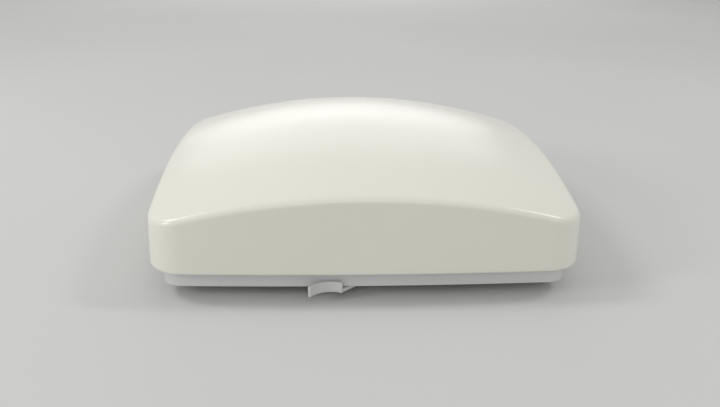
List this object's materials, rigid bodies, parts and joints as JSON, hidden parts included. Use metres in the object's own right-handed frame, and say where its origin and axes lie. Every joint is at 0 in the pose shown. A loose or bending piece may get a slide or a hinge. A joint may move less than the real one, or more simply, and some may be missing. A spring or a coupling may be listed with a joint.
{
  "type": "directional panel antenna",
  "caption": "Square domed-radome directional panel antenna with stacked patch elements, a recessed threaded RF jack and a lever-locked slide-on wall plate.",
  "frame": {"origin": "on the wall plate's back face, on the antenna's centreline, midway between the tray's side walls and its end walls", "axes": "+Z is the beam direction, away from the wall; +Y is up on the wall; +X completes a right-handed frame, to the right when facing the wall"},
  "size_m": [0.19, 0.1825, 0.0585],
  "materials": {
    "radome_plastic": "ivory, ASA, fine satin grain",
    "tray_plastic": "pale grey ASA, fine satin grain",
    "plate_plastic": "pale grey glass-filled nylon",
    "lever_plastic": "pale grey acetal",
    "seal_rubber": "black silicone",
    "vent_rubber": "dark grey elastomer",
    "label_film": "blank silver polyester film",
    "screw_steel": "stainless",
    "washer_steel": "stainless",
    "pin_steel": "ground stainless",
    "reflector_aluminium": "mill finish sheet",
    "element_brass": "sheet",
    "pin_brass": "turned",
    "board_laminate": "glass-epoxy laminate, green mask",
    "trace_copper": "bare copper",
    "coax_copper": "semi-rigid copper",
    "solder_tin": "bright solder",
    "jack_gold": "gold plated",
    "jack_ptfe": "white fluoropolymer",
    "spacer_nylon": "natural nylon"
  },
  "bodies": {
    "wall_mount": {"wall_plate": "plate_plastic", "cam_pin": "pin_steel"},
    "antenna": {"radome": "radome_plastic", "base_tray": "tray_plastic", "rim_gasket": "seal_rubber", "radome_screws": "screw_steel", "vent_plug": "vent_rubber", "label": "label_film", "reflector": "reflector_aluminium", "reflector_screws": "screw_steel", "feed_board": "board_laminate", "feed_traces": "trace_copper", "feed_pins": "pin_brass", "driven_patch_1": "element_brass", "driven_patch_2": "element_brass", "driven_patch_3": "element_brass", "driven_patch_4": "element_brass", "director_1": "element_brass", "director_2": "element_brass", "director_3": "element_brass", "director_4": "element_brass", "lower_spacers": "spacer_nylon", "upper_spacers": "spacer_nylon", "stack_screws": "spacer_nylon", "stack_nuts": "spacer_nylon", "coax_jumper": "coax_copper", "solder_joint": "solder_tin", "jack_shell": "jack_gold", "jack_insulator": "jack_ptfe", "jack_contact": "jack_gold", "jack_seal": "seal_rubber", "jack_washer": "washer_steel", "jack_nut": "jack_gold", "lever_screw": "screw_steel", "lever_washer": "washer_steel"},
    "lever": {"lock_lever": "lever_plastic"}
  },
  "joints": [
    {"name": "antenna_slide", "type": "slide", "parent": "wall_mount", "child": "antenna", "axis": [0, 1, 0], "range_m": [0, 0.005]},
    {"name": "lever_turn", "type": "hinge", "parent": "antenna", "child": "lever", "pos_m": [0, -0.0694, 0.0044], "axis": [0, 0, 1], "range_deg": [0, 60]}
  ],
  "couplings": [
    {"joint": "lever_turn", "follows": "antenna_slide", "rad_per_m": 209.44}
  ]
}
